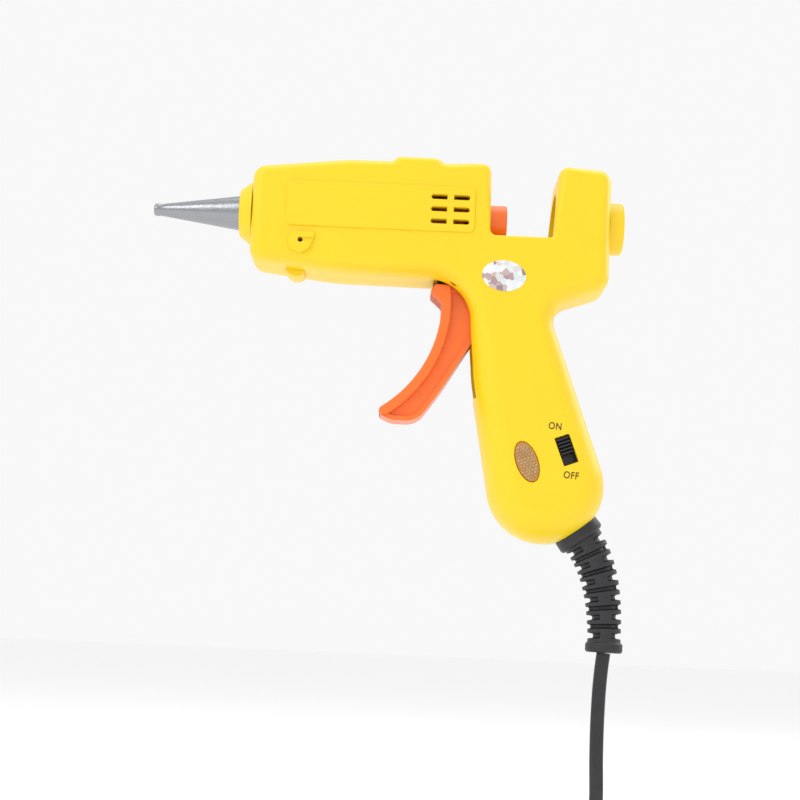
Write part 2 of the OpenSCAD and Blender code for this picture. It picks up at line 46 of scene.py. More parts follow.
# Small helpers

def linearColour(hexColour, alpha=1.0):
    parts = [int(hexColour[i:i + 2], 16) / 255 for i in (1, 3, 5)]
    return [c / 12.92 if c <= 0.04045 else ((c + 0.055) / 1.055) ** 2.4 for c in parts] + [alpha]


def addNode(tree, kind, settings=None, values=None, links=None):
    node = tree.nodes.new(kind)
    for key, value in (settings or {}).items():
        setattr(node, key, value)
    for key, value in (values or {}).items():
        node.inputs[key].default_value = value
    for key, (source, output) in (links or {}).items():
        tree.links.new(source.outputs[output], node.inputs[key])
    return node


def startMaterial(name, values):
    material = bpy.data.materials.new(name)
    material.use_nodes = True
    tree = material.node_tree
    shader = tree.nodes["Principled BSDF"]
    for key, value in values.items():
        shader.inputs[key].default_value = value
    return material, tree, shader


# Base colour that wanders between two hex values with a noise.
def blendColour(tree, shader, noise, first, second):
    tint = addNode(tree, "ShaderNodeMix", {"data_type": "RGBA"}, links={"Factor": (noise, "Fac")})
    tint.inputs[6].default_value = linearColour(first)
    tint.inputs[7].default_value = linearColour(second)
    tree.links.new(tint.outputs[2], shader.inputs["Base Color"])


def markSharp(mesh, degrees):
    work = bmesh.new()
    work.from_mesh(mesh)
    limit = math.radians(degrees)
    for face in work.faces:
        face.smooth = True
    for edge in work.edges:
        edge.smooth = len(edge.link_faces) == 2 and edge.calc_face_angle(0) < limit
    work.to_mesh(mesh)
    work.free()


def makePiece(name, verts, faces, material, sharp=32, scale=mm):
    mesh = bpy.data.meshes.new(name)
    mesh.from_pydata([[c * scale for c in v] for v in verts], [], faces)
    work = bmesh.new()
    work.from_mesh(mesh)
    bmesh.ops.recalc_face_normals(work, faces=work.faces)
    work.to_mesh(mesh)
    work.free()
    markSharp(mesh, sharp)
    piece = bpy.data.objects.new(name, mesh)
    bpy.context.collection.objects.link(piece)
    if material:
        mesh.materials.append(material)
    return piece


def join(name, pieces, sharp=32):
    verts, faces, slots, materials = [], [], [], []
    for piece in pieces:
        start = len(verts)
        place = piece.matrix_world
        verts += [place @ v.co for v in piece.data.vertices]
        for slot in piece.data.materials:
            if slot not in materials:
                materials.append(slot)
        for face in piece.data.polygons:
            faces.append([start + i for i in face.vertices])
            slots.append(materials.index(piece.data.materials[face.material_index]) if piece.data.materials else 0)
    mesh = bpy.data.meshes.new(name)
    mesh.from_pydata(verts, [], faces)
    for slot in materials:
        mesh.materials.append(slot)
    for face, slot in zip(mesh.polygons, slots):
        face.material_index = slot
    markSharp(mesh, sharp)
    for piece in pieces:
        old = piece.data
        bpy.data.objects.remove(piece)
        bpy.data.meshes.remove(old)
    piece = bpy.data.objects.new(name, mesh)
    bpy.context.collection.objects.link(piece)
    return piece


def combine(piece, tools, operation, sharp=32):
    for tool in tools:
        change = piece.modifiers.new("combine", "BOOLEAN")
        change.operation = operation
        change.solver = "EXACT"
        change.object = tool
    bpy.context.view_layer.update()
    shaped = piece.evaluated_get(bpy.context.evaluated_depsgraph_get())
    mesh = bpy.data.meshes.new_from_object(shaped)
    piece.modifiers.clear()
    piece.data = mesh
    for tool in tools:
        old = tool.data
        bpy.data.objects.remove(tool)
        bpy.data.meshes.remove(old)
    markSharp(mesh, sharp)
    return piece


def ringFaces(count, rings, closed=False):
    faces = []
    for r in range(rings if closed else rings - 1):
        a, b = r * count, (r + 1) % rings * count
        faces += [[a + i, a + (i + 1) % count, b + (i + 1) % count, b + i] for i in range(count)]
    return faces


def capped(count, rings):
    return ringFaces(count, rings) + [list(range(count)), list(range((rings - 1) * count, rings * count))]


def insetOutline(points, depth):
    result = []
    for i, p in enumerate(points):
        a, b = Vector(points[i - 1]), Vector(points[(i + 1) % len(points)])
        here = Vector(p)
        u, v = (here - a).normalized(), (b - here).normalized()
        n = (Vector((u.y, -u.x)) + Vector((v.y, -v.x))).normalized()
        lift = max(0.5, n.dot(Vector((u.y, -u.x))))
        result.append(here + n * depth / lift)
    return result


def area(points):
    return sum(points[i - 1][0] * p[1] - p[0] * points[i - 1][1] for i, p in enumerate(points)) / 2


# A plate in the side view between two depths, its edges rounded; points are x, z in mm.
def plate(name, points, y0, y1, edge, material, steps=4, ends=(True, True), sharp=32):
    points = points if area(points) < 0 else points[::-1]
    layers = []
    if ends[0] and edge:
        layers += [(edge * (1 - math.sin(a)), y0 + edge * (1 - math.cos(a))) for a in
                   [math.pi / 2 * k / steps for k in range(steps)]]
    layers.append((0, y0 + (edge if ends[0] else 0)))
    layers.append((0, y1 - (edge if ends[1] else 0)))
    if ends[1] and edge:
        layers += [(edge * (1 - math.sin(a)), y1 - edge * (1 - math.cos(a))) for a in
                   [math.pi / 2 * k / steps for k in range(steps - 1, -1, -1)]]
    verts = []
    for depth, y in layers:
        verts += [(p[0], y, p[1]) for p in (insetOutline(points, depth) if depth else points)]
    return makePiece(name, verts, capped(len(points), len(layers)), material, sharp)


# A round piece about the X axis: pairs of x, r along its outline, closed on itself if it has a bore.
def turnedPiece(name, outline, material, y=0, z=63.5, sides=96, closed=True, sharp=30):
    verts = []
    for x, r in outline:
        for k in range(sides):
            a = 2 * math.pi * k / sides
            verts.append((x, y + r * math.cos(a), z + r * math.sin(a)))
    rings = len(outline)
    faces = ringFaces(sides, rings, closed) if closed else capped(sides, rings)
    return makePiece(name, verts, faces, material, sharp)


def circlePoints(x, z, r, count=48):
    return [(x + r * math.cos(2 * math.pi * k / count),
        z + r * math.sin(2 * math.pi * k / count)) for k in range(count)]


def post(name, x, z, y0, y1, r, material, edge=0.0, count=40):
    return plate(name, circlePoints(x, z, r, count), y0, y1, edge, material)


def softEdges(piece, width=0.25, segments=2, degrees=40):
    bevel = piece.modifiers.new("softEdges", "BEVEL")
    bevel.width = width * mm
    bevel.segments = segments
    bevel.limit_method = "ANGLE"
    bevel.angle_limit = math.radians(degrees)
    bevel.harden_normals = False
    return piece


# Camera
cameraSettings = {"place": (-41.63, -544.65, -71.92), "lookUp": 8.0, "roll": 2.5, "lens": 77.34}


def buildCamera():
    data = bpy.data.cameras.new("studioCamera")
    data.sensor_width = 36
    data.lens = cameraSettings["lens"]
    data.clip_start, data.clip_end = 0.01, 60
    camera = bpy.data.objects.new("studioCamera", data)
    bpy.context.collection.objects.link(camera)
    up, roll = math.radians(cameraSettings["lookUp"]), math.radians(cameraSettings["roll"])
    forward = Vector((0, math.cos(up), math.sin(up)))
    right = Vector((1, 0, 0))
    above = right.cross(forward)
    rolledRight = right * math.cos(roll) + above * math.sin(roll)
    rolledUp = above * math.cos(roll) - right * math.sin(roll)
    turn = Matrix((rolledRight, rolledUp, -forward)).transposed()
    camera.matrix_world = Matrix.Translation(Vector(cameraSettings["place"]) * mm) @ turn.to_4x4()
    bpy.context.scene.camera = camera


buildCamera()
print("camera set")

# Materials

# ABS, injection moulded in a lightly sanded tool: even colour, a soft sheen and a fine grain.
def mouldedAbs(name, main, shade, roughness=0.36, glow=0.12):
    material, tree, shader = startMaterial(name, {"Roughness": roughness, "IOR": 1.53,
                                                  "Subsurface Weight": glow, "Subsurface Scale": 0.0012})
    shader.inputs["Subsurface Radius"].default_value = (1.0, 0.45, 0.1)
    place = addNode(tree, "ShaderNodeTexCoord")
    flow = addNode(tree, "ShaderNodeTexNoise", values={"Scale": 55, "Detail": 3},
        links={"Vector": (place, "Object")})
    blendColour(tree, shader, flow, main, shade)
    # sanding marks of the tool, about 0.25 mm apart
    grain = addNode(tree, "ShaderNodeTexNoise", values={"Scale": 2600, "Detail": 2},
        links={"Vector": (place, "Object")})
    bump = addNode(tree, "ShaderNodeBump", values={"Strength": 0.12, "Distance": 0.00004},
        links={"Height": (grain, "Fac")})
    tree.links.new(bump.outputs["Normal"], shader.inputs["Normal"])
    polish = addNode(tree, "ShaderNodeMapRange", values={"To Min": roughness - 0.05,
        "To Max": roughness + 0.07},
                     links={"Value": (flow, "Fac")})
    tree.links.new(polish.outputs["Result"], shader.inputs["Roughness"])
    return material


# Zinc-aluminium die casting, tumbled: bright, with fine pits and rubbed scratches.
def tumbledCasting(name, colour="#9C9DA1"):
    material, tree, shader = startMaterial(name, {"Metallic": 1.0})
    shader.inputs["Base Color"].default_value = linearColour(colour)
    place = addNode(tree, "ShaderNodeTexCoord")
    stretch = addNode(tree, "ShaderNodeMapping", values={"Scale": (0.35, 1, 1)},
        links={"Vector": (place, "Object")})
    pits = addNode(tree, "ShaderNodeTexNoise", values={"Scale": 1400, "Detail": 4, "Roughness": 0.7},
                   links={"Vector": (stretch, "Vector")})
    rubs = addNode(tree, "ShaderNodeTexNoise", values={"Scale": 260, "Detail": 5, "Roughness": 0.75},
                   links={"Vector": (stretch, "Vector")})
    level = addNode(tree, "ShaderNodeMapRange", values={"From Min": 0.35, "From Max": 0.7, "To Min": 0.16,
        "To Max": 0.42},
                    links={"Value": (rubs, "Fac")})
    tree.links.new(level.outputs["Result"], shader.inputs["Roughness"])
    bump = addNode(tree, "ShaderNodeBump", values={"Strength": 0.35, "Distance": 0.00012},
        links={"Height": (pits, "Fac")})
    bumpTwo = addNode(tree, "ShaderNodeBump", values={"Strength": 0.25, "Distance": 0.0003},
                      links={"Height": (rubs, "Fac"), "Normal": (bump, "Normal")})
    tree.links.new(bumpTwo.outputs["Normal"], shader.inputs["Normal"])
    return material


# Soft PVC, moulded or extruded: near black, with a dull skin that catches dust.
def softPvc(name, colour="#0E0E10", roughness=0.5, grainSize=1500, strength=0.2):
    material, tree, shader = startMaterial(name, {"Roughness": roughness, "IOR": 1.53})
    place = addNode(tree, "ShaderNodeTexCoord")
    dust = addNode(tree, "ShaderNodeTexNoise", values={"Scale": 180, "Detail": 5},
        links={"Vector": (place, "Object")})
    tint = addNode(tree, "ShaderNodeMix", {"data_type": "RGBA"}, links={"Factor": (dust, "Fac")})
    tint.inputs[6].default_value = linearColour(colour)
    tint.inputs[7].default_value = linearColour("#2A2B2E")
    tree.links.new(tint.outputs[2], shader.inputs["Base Color"])
    grain = addNode(tree, "ShaderNodeTexNoise", values={"Scale": grainSize, "Detail": 3},
        links={"Vector": (place, "Object")})
    bump = addNode(tree, "ShaderNodeBump", values={"Strength": strength, "Distance": 0.00006},
        links={"Height": (grain, "Fac")})
    tree.links.new(bump.outputs["Normal"], shader.inputs["Normal"])
    return material


# Steel wire or sheet, zinc plated and drawn or pressed: a bright grey with fine lines.
def platedSteel(name, colour="#B8B9BC", roughness=0.3):
    material, tree, shader = startMaterial(name, {"Metallic": 1.0})
    shader.inputs["Base Color"].default_value = linearColour(colour)
    place = addNode(tree, "ShaderNodeTexCoord")
    lines = addNode(tree, "ShaderNodeTexNoise", values={"Scale": 900, "Detail": 4},
        links={"Vector": (place, "Object")})
    level = addNode(tree, "ShaderNodeMapRange", values={"To Min": roughness - 0.1,
        "To Max": roughness + 0.12},
                    links={"Value": (lines, "Fac")})
    tree.links.new(level.outputs["Result"], shader.inputs["Roughness"])
    return material


# Polycarbonate, moulded clear and tinted: amber that lets the lamp's glow through.
def tintedLens(name, colour, roughness=0.18):
    material, tree, shader = startMaterial(name, {"Roughness": roughness, "IOR": 1.58,
        "Subsurface Weight": 0.6,
                                                  "Subsurface Scale": 0.002, "Transmission Weight": 0.15})
    place = addNode(tree, "ShaderNodeTexCoord")
    depth = addNode(tree, "ShaderNodeTexNoise", values={"Scale": 420, "Detail": 3},
        links={"Vector": (place, "Object")})
    tint = addNode(tree, "ShaderNodeMix", {"data_type": "RGBA"}, links={"Factor": (depth, "Fac")})
    tint.inputs[6].default_value = linearColour(colour)
    tint.inputs[7].default_value = linearColour("#B9803F")
    tree.links.new(tint.outputs[2], shader.inputs["Base Color"])
    return material


# Foil sticker, embossed: silver-white facets that shift to pink and grey.
def foilSticker(name):
    material, tree, shader = startMaterial(name, {"Roughness": 0.25, "IOR": 1.5, "Metallic": 0.35,
        "Coat Weight": 0.4})
    place = addNode(tree, "ShaderNodeTexCoord")
    facets = addNode(tree, "ShaderNodeTexVoronoi", values={"Scale": 520},
        links={"Vector": (place, "Object")})
    parts = addNode(tree, "ShaderNodeSeparateColor", links={"Color": (facets, "Color")})
    ramp = addNode(tree, "ShaderNodeValToRGB", links={"Fac": (parts, "Red")})
    for place01, hexColour in ((0.3, "#F4F3F5"), (0.55, "#DCE8E6"), (0.7, "#E9CFCB"), (0.86, "#B99C99")):
        stop = ramp.color_ramp.elements.new(place01)
        stop.color = linearColour(hexColour)
    ramp.color_ramp.elements[0].color = linearColour("#FBFBFC")
    ramp.color_ramp.elements[-1].color = linearColour("#8F8488")
    tree.links.new(ramp.outputs["Color"], shader.inputs["Base Color"])
    return material


yellowAbs = mouldedAbs("yellow ABS, moulded satin", "#F6D40C", "#F2CE06", 0.36, 0.06)
orangeAbs = mouldedAbs("orange ABS, moulded satin", "#FB7A28", "#F66E1E", 0.3, 0.05)
castNozzle = tumbledCasting("zinc alloy, die-cast and tumbled")
castBarrel = tumbledCasting("aluminium, die-cast", "#A9AAAC")
blackPvc = softPvc("black PVC, soft moulded")
leadPvc = softPvc("black PVC, extruded", "#070708", 0.22, 700, 0.1)
blackNylon = softPvc("black nylon, moulded", "#0D0D0F", 0.3, 1200, 0.1)
zincSteel = platedSteel("steel, zinc plated")
nickelBrass = platedSteel("brass, nickel plated", "#C9C6BC", 0.2)
goldBrass = platedSteel("brass, stamped", "#C9A24B", 0.25)
amberLens = tintedLens("polycarbonate, amber tint", "#D79A50")
# the lens dots get a paler copy of the amber lens material: a painted highlight where the moulded dots catch the
# light
paintedHighlightDots = tintedLens("polycarbonate, dots with painted highlight", "#F3D9C6", 0.1)
stickerFoil = foilSticker("foil, embossed")
siliconeGrey = softPvc("silicone, moulded", "#B9B4AB", 0.55)
ceramicGrey = softPvc("steatite, fired", "#4C4843", 0.7)
amberFilm = softPvc("polyimide film, wrapped", "#9A5A1C", 0.3)
brownWire = softPvc("PVC, brown extruded", "#4A2A16", 0.35)
blueWire = softPvc("PVC, blue extruded", "#1C3F86", 0.35)
tanLacquer = softPvc("lacquer over carbon film", "#B99A6B", 0.35)
neonGlass, neonTree, neonShader = startMaterial("glass, drawn neon lamp",
    {"Roughness": 0.05, "IOR": 1.5, "Transmission Weight": 0.8})
neonPlace = addNode(neonTree, "ShaderNodeTexCoord")
neonNoise = addNode(neonTree, "ShaderNodeTexNoise", values={"Scale": 200},
    links={"Vector": (neonPlace, "Object")})
blendColour(neonTree, neonShader, neonNoise, "#F3C7A0", "#E9A97A")
print("materials made")

# Lead
leadSettings = {"width": 4.4, "thick": 2.5, "length": 1.105, "coilCentre": (-1, 18), "coilRadius": 24,
    "coilHeight": -139.2,
                "turns": 6.25, "startPhase": 60, "phasePerTurn": 58, "acrossBundle": 4.0, "upBundle": 5.4}
leadDown = [(25.6, 0, -72.6), (25, 0, -78), (24.5, 0, -85), (24.2, 0, -95), (24.2, 0, -105),
    (24.4, 0, -112),
            (24.5, 0, -116.5), (24.6, 1.4, -123.4), (24.8, 5.3, -129.2), (24.9, 11.1, -133.1)]
leadOut = [(-8, 44.2, -134.9), (-16, 44.6, -136.4), (-24, 45, -138.8), (-30, 45, -140)]


def smoothRoute(points, per):
    points = [Vector(p) for p in points]
    ends = [points[0] * 2 - points[1]] + points + [points[-1] * 2 - points[-2]]
    route = []
    for i in range(len(points) - 1):
        a, b, c, d = ends[i:i + 4]
        for k in range(per):
            t = k / per
            route.append(0.5 * ((2 * b) + (c - a) * t + (2 * a - 5 * b + 4 * c - d) * t ** 2 + (3 * b - a - 3 * c + d) * t ** 3))
    return route + [points[-1]]


def leadRoute():
    s = leadSettings
    coil, wide = [], []
    steps = round(s["turns"] * 36)
    for i in range(steps + 1):
        turn = i / 36
        a = 2 * math.pi * turn
        phase = math.radians(s["startPhase"] + s["phasePerTurn"] * turn)
        r = s["coilRadius"] + s["acrossBundle"] * math.cos(phase)
        coil.append(Vector((s["coilCentre"][0] + r * math.cos(a), s["coilCentre"][1] + r * math.sin(a),
                            s["coilHeight"] + s["upBundle"] * math.sin(phase))))
        out = Vector((math.cos(a), math.sin(a), 0))
        wide.append((out * s["acrossBundle"] * math.sin(phase) - Vector((0, 0,
            1)) * s["upBundle"] * math.cos(phase)).normalized())
    down = smoothRoute(leadDown + [coil[0]], 4)[:-1]
    out = smoothRoute([coil[-1]] + leadOut, 5)[1:]
    wideDown = []
    for i in range(len(down)):
        t = max(0, (i - 0.55 * len(down)) / (0.45 * len(down)))
        wideDown.append(Vector((1, 0, 0)).lerp(wide[0], t * t * (3 - 2 * t)).normalized())
    wideOut = []
    for i in range(len(out)):
        t = min(1, (i + 1) / len(out))
        wideOut.append(wide[-1].lerp(Vector((0, 1, 0)) * (1 if wide[-1].y > 0 else -1),
            t * t * (3 - 2 * t)).normalized())
    return down + coil + out, wideDown + wide + wideOut


def sweepSection(name, route, wides, sectionAt, material, sharp=60):
    verts, count = [], 0
    for i, p in enumerate(route):
        t = (route[min(i + 1, len(route) - 1)] - route[max(i - 1, 0)]).normalized()
        w = (wides[i] - t * wides[i].dot(t)).normalized()
        n = t.cross(w)
        section = sectionAt(i)
        count = len(section)
        verts += [p + w * x + n * y for x, y in section]
    return makePiece(name, verts, capped(count, len(route)), material, sharp)


def twinSection():
    s = leadSettings
    r = s["thick"] / 2
    gap = s["width"] / 2 - r
    points = []
    for side in (1, -1):
        for k in range(9):
            a = math.radians(-112 + 224 * k / 8)
            points.append((side * (gap + r * math.cos(a)), side * r * math.sin(a)))
    return points


def buildLead():
    route, wides = leadRoute()
    section = twinSection()
    lead = sweepSection("twinLead", route, wides, lambda i: section, leadPvc)
    print("lead length", round(sum((b - a).length for a, b in zip(route, route[1:])) / 1000, 4))
    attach(lead, "housing")
    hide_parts("cord", "cord_coil", "cord_tail")
    return lead, route


plugSettings = {"y": 45, "z": -140}


def buildPlug():
    p = plugSettings
    y, z = p["y"], p["z"]
    rings = []
    for x, hy, hz, corner in ((-66, 9, 6.2, 2), (-65.2, 9.8, 6.9, 2.4), (-64, 10, 7, 2.6), (-57, 10, 7, 3),
        (-55, 9.2, 6.6, 3),
                              (-53.6, 9.4, 6.7, 3), (-52, 8.4, 6.3, 3), (-50.6, 8.6, 6.4, 3),
                                  (-49, 7.4, 5.9, 3),
                              (-47.6, 7.5, 5.9, 3), (-46, 6.2, 5.4, 3), (-44, 5.2, 5, 3.4),
                                  (-43, 4.4, 4.4, 3.6)):
        ring = []
        for sy, sz, start in ((1, 1, 0), (-1, 1, 90), (-1, -1, 180), (1, -1, 270)):
            for k in range(7):
                a = math.radians(start + 90 * k / 6)
                ring.append((x, y + sy * (hy - corner) + corner * math.cos(a),
                    z + sz * (hz - corner) + corner * math.sin(a)))
        rings.append(ring)
    body = makePiece("plugShell", [v for ring in rings for v in ring], capped(28, len(rings)), None, 40)
    outline = [(-43.2, 4.1)]
    for k in range(7):  # collars of the plug's own bend relief
        x = -42.8 + k * 1.8
        outline += [(x, 4.1), (x + 0.2, 4.2), (x + 0.9, 4.2), (x + 1.1, 3.2), (x + 1.6, 3.2)]
    outline = [(x, r) for x, r in outline if x < -30.2] + [(-30.2, 3.4)]
    relief = turnedPiece("plugRelief", outline, None, y, z, 40, closed=False)
    for piece in (body, relief):
        piece.data.materials.append(blackPvc)
    plug = join("mainsPlug", [body, relief], 40)
    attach(plug, "housing")
    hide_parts("plug_body")
    blades = []
    for side in (-1, 1):
        c = y + side * 6.35
        ring = []
        for x, hy, hz in ((-83.5, 0.35, 2.5), (-82.9, 0.7, 3.0), (-82, 0.75, 3.15), (-65.9, 0.75, 3.15)):
            ring += [(x, c - hy, z - hz + 0.2), (x, c - hy, z + hz - 0.2), (x, c - hy + 0.1, z + hz),
                (x, c + hy - 0.1, z + hz),
                     (x, c + hy, z + hz - 0.2), (x, c + hy, z - hz + 0.2), (x, c + hy - 0.1, z - hz),
                         (x, c - hy + 0.1, z - hz)]
        blade = makePiece("blade", ring, capped(8, 4), nickelBrass, 20)
        blades.append(blade)
    pair = join("plugBlades", blades, 20)
    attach(pair, "housing")
    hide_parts("plug_pins")
    return plug, pair


def buildTie():
    s = leadSettings
    verts, count, rings = [], 28, 12
    wide, tall = 6.2, 7.6
    for shell in (0, 0.75):
        for i in range(rings + 1):
            a = math.radians(196 + 14 * i / rings)
            soften = 0.25 if i in (0, rings) and shell else 0
            for k in range(count):
                b = 2 * math.pi * k / count
                c, d = math.cos(b), math.sin(b)
                u = (wide - 1.0 + shell - soften) * math.copysign(abs(c) ** 0.75, c)
                v = (tall - 0.85 + shell - soften) * math.copysign(abs(d) ** 0.75, d)
                r = s["coilRadius"] + u
                verts.append((s["coilCentre"][0] + r * math.cos(a), s["coilCentre"][1] + r * math.sin(a),
                    s["coilHeight"] + v))
    size = count * (rings + 1)
    faces = ringFaces(count, rings + 1)
    faces += [[size + i for i in face] for face in ringFaces(count, rings + 1)]
    for end in (0, rings * count):
        faces += [[end + k, end + (k + 1) % count, size + end + (k + 1) % count,
            size + end + k] for k in range(count)]
    tie = makePiece("leadTie", verts, faces, blackNylon, 40)
    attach(tie, "housing")
    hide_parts("cord_tie")
    return tie


lead, leadPath = buildLead()
plug, blades = buildPlug()
tie = buildTie()
print("lead, plug and tie made")

# Housing
housingSettings = {"halfT": 14, "wall": 2, "frontX": -91.7, "axisZ": 63.5, "rearX": 23.2,
                   "panelX": (-80.2, -20.4), "panelZ": (57, 71.6), "panelRise": 0.6,
                       "socket": (-75.3, 52.3),
                   "screws": [(-84.3, 52), (-55, 51.3), (-3, 44), (-4, 5), (-3, -25.5)],
                       "lens": (-1.4, -14.9),
                   "switch": (10.8, -10.7), "tilt": 21, "exit": (15.4, -34.2), "exitTilt": 38}
# x, z, radius in the side view, then how far the edge is rounded in that view and across it
housingCorners = [(-91.7, 46.5, 4.4, 3.5, 7), (-91.7, 77, 4.4, 3.5, 7), (-61, 80.5, 30, 3.5, 7),
    (-47.4, 80.5, 1.5, 3, 7),
                  (-45.4, 81.9, 3.2, 2.3, 6), (-33.2, 81.9, 3.2, 2.3, 6), (-30.2, 80.5, 3, 3.2, 7),
                      (-15.4, 80.5, 3.2, 2.3, 4),
                  (-15.4, 56.8, 2, 1, 1), (4.6, 56.8, 1, 1, 1), (6.2, 80.5, 3.2, 2.3, 4),
                      (23.2, 80.5, 4.5, 3.5, 7),
                  (23.2, 42.2, 5, 3.8, 7), (4.2, 34.9, 7, 6, 9), (29.6, -33, 18.2, 9, 12),
                      (-9.2, -44.4, 18.2, 9, 12),
                  (-19.6, 13, 60, 8, 11), (-21, 42.5, 13, 5, 8), (-65, 43.4, 60, 3.5, 7)]


def cornerArc(before, here, after, density):
    u = (Vector(here[:2]) - Vector(before[:2])).normalized()
    v = (Vector(after[:2]) - Vector(here[:2])).normalized()
    turn = math.atan2(u.x * v.y - u.y * v.x, u.dot(v))
    side = 1 if turn < 0 else -1
    r = here[2]
    inward = Vector((u.y, -u.x))
    centre = Vector(here[:2]) - u * r * math.tan(abs(turn) / 2) + inward * r * side
    steps = max(2, round(abs(turn) * density * (2.2 if r > 10 else 1)))
    points = []
    for k in range(steps + 1):
        a = turn * k / steps
        m = Vector((inward.x * math.cos(a) - inward.y * math.sin(a),
            inward.x * math.sin(a) + inward.y * math.cos(a)))
        p = centre - m * r * side
        points.append((p.x, p.y, m.x, m.y, here[3], here[4]))
    return points


def outlineOf(corners, density=9, gap=4):
    arcs = [cornerArc(corners[i - 1], corners[i], corners[(i + 1) % len(corners)],
        density) for i in range(len(corners))]
    points = []
    for i, arc in enumerate(arcs):
        points += arc
        a, b = arc[-1], arcs[(i + 1) % len(arcs)][0]
        steps = int(math.dist(a[:2], b[:2]) / gap)
        for k in range(1, steps):  # the rounding changes gently along a straight side
            t = k / steps
            s = t * t * (3 - 2 * t)
            points.append(tuple(a[j] + (b[j] - a[j]) * t for j in range(4)) + tuple(a[j] + (b[j] - a[j]) * s for j in (4, 5)))
    return points


def halfShell(name, side, material):
    h = housingSettings
    points = outlineOf(housingCorners)
    steps = 9
    angles = [math.pi / 2 * k / steps for k in range(steps + 1)]

    def ring(depth, angle):
        verts = []
        for x, z, mx, mz, a, b in points:
            a, b = max(a - depth, 0.2), max(b - depth, 0.2)
            move = depth + a * (1 - math.cos(angle))
            verts.append((x + mx * move, side * (h["halfT"] - depth - b + b * math.sin(angle)),
                z + mz * move))
        return verts

    def rim(depth, y):
        return [(x + mx * depth, side * y, z + mz * depth) for x, z, mx, mz, a, b in points]

    rings = [rim(0.14, 0), rim(0.03, 0.05), rim(0, 0.16)]  # the fine groove where the halves meet
    rings += [ring(0, a) for a in angles] + [ring(h["wall"], a) for a in reversed(angles)] + [rim(h["wall"],
        0)]
    count, last = len(points), len(rings) - 1
    outer = 3 + steps
    faces = []
    for r in range(last):
        if r != outer:
            faces += [[r * count + i, r * count + (i + 1) % count, (r + 1) * count + (i + 1) % count,
                (r + 1) * count + i]
                      for i in range(count)]
    faces += [[last * count + i, last * count + (i + 1) % count, (i + 1) % count, i] for i in range(count)]
    faces += [[outer * count + i for i in range(count)], [(outer + 1) * count + i for i in range(count)]]
    shell = makePiece(name, [v for r in rings for v in r], faces, material, 30)
    work = bmesh.new()  # the two flats are cut into triangles before anything is cut out of them
    work.from_mesh(shell.data)
    bmesh.ops.triangulate(work, faces=[f for f in work.faces if len(f.verts) > 4], ngon_method="EAR_CLIP")
    work.to_mesh(shell.data)
    work.free()
    markSharp(shell.data, 30)
    return shell


def roundedBox(x0, z0, x1, z1, r, steps=6):
    points = []
    for cx, cz, start in ((x1 - r, z1 - r, 0), (x0 + r, z1 - r, 90), (x0 + r, z0 + r, 180),
        (x1 - r, z0 + r, 270)):
        points += [(cx + r * math.cos(math.radians(start + 90 * k / steps)),
            cz + r * math.sin(math.radians(start + 90 * k / steps)))
                   for k in range(steps + 1)]
    return points


# A cutter for an opening in the side wall; its mouth is a little wider, so the edge looks rounded.
def opening(points, side, outer=16, face=14.0, inner=9.5, flare=0.22):
    points = points if area(points) < 0 else points[::-1]
    verts = []
    for depth, y in ((-flare, outer), (-flare, face + 0.02), (-flare * 0.3, face - 0.12), (0, face - 0.3),
        (0, inner)):
        verts += [(p[0], side * y, p[1]) for p in insetOutline(points, depth)]
    return makePiece("opening", verts, capped(len(points), 5), None)


def tiltedAt(place, points, degrees):
    c, s = math.cos(math.radians(degrees)), math.sin(math.radians(degrees))
    return [(place[0] + x * c - z * s, place[1] + x * s + z * c) for x, z in points]


def ellipsePoints(rx, rz, count=64):
    return [(rx * math.cos(2 * math.pi * k / count),
        rz * math.sin(2 * math.pi * k / count)) for k in range(count)]


def solidRound(name, a, b, ra, rb=None, count=64):
    a, b = Vector(a), Vector(b)
    t = (b - a).normalized()
    w = t.orthogonal().normalized()
    n = t.cross(w)
    verts = []
    for p, r in ((a, ra), (b, ra if rb is None else rb)):
        verts += [p + (w * math.cos(2 * math.pi * k / count) + n * math.sin(2 * math.pi * k / count)) * r for k in range(count)]
    return makePiece(name, verts, capped(count, 2), None)


def blockPiece(low, high):
    verts = [(x, y, z) for x in (low[0], high[0]) for y in (low[1], high[1]) for z in (low[2], high[2])]
    return makePiece("block", verts, [[0, 1, 3, 2], [4, 6, 7, 5], [0, 4, 5, 1], [2, 3, 7, 6], [0, 2, 6, 4],
        [1, 5, 7, 3]], None)


def ventOutlines():
    rows = [64.2 - 3.95, 64.2, 64.2 + 3.95]
    outlines = []
    for z in rows:
        for x0, x1, roundLeft in ((-34.4, -29.4, True), (-27.2, -22.2, False)):
            h = 1.45 / 2
            arc = [(h * math.sin(math.radians(180 * k / 8)),
                h * math.cos(math.radians(180 * k / 8))) for k in range(9)]
            if roundLeft:
                points = [(x0 + h - dx, z - dz) for dx, dz in arc] + [(x1, z + h), (x1, z - h)]
            else:
                points = [(x1 - h + dx, z + dz) for dx, dz in arc] + [(x0, z - h), (x0, z + h)]
            outlines.append(points)
    return outlines


def exitPoint(along, x=0.0, y=0.0):
    h = housingSettings
    a = math.radians(180 - h["exitTilt"])
    return Vector((h["exit"][0] + x * math.cos(a) + along * math.sin(a), y,
        h["exit"][1] - x * math.sin(a) + along * math.cos(a)))


def inOrder(a, b):
    return min(a, b), max(a, b)


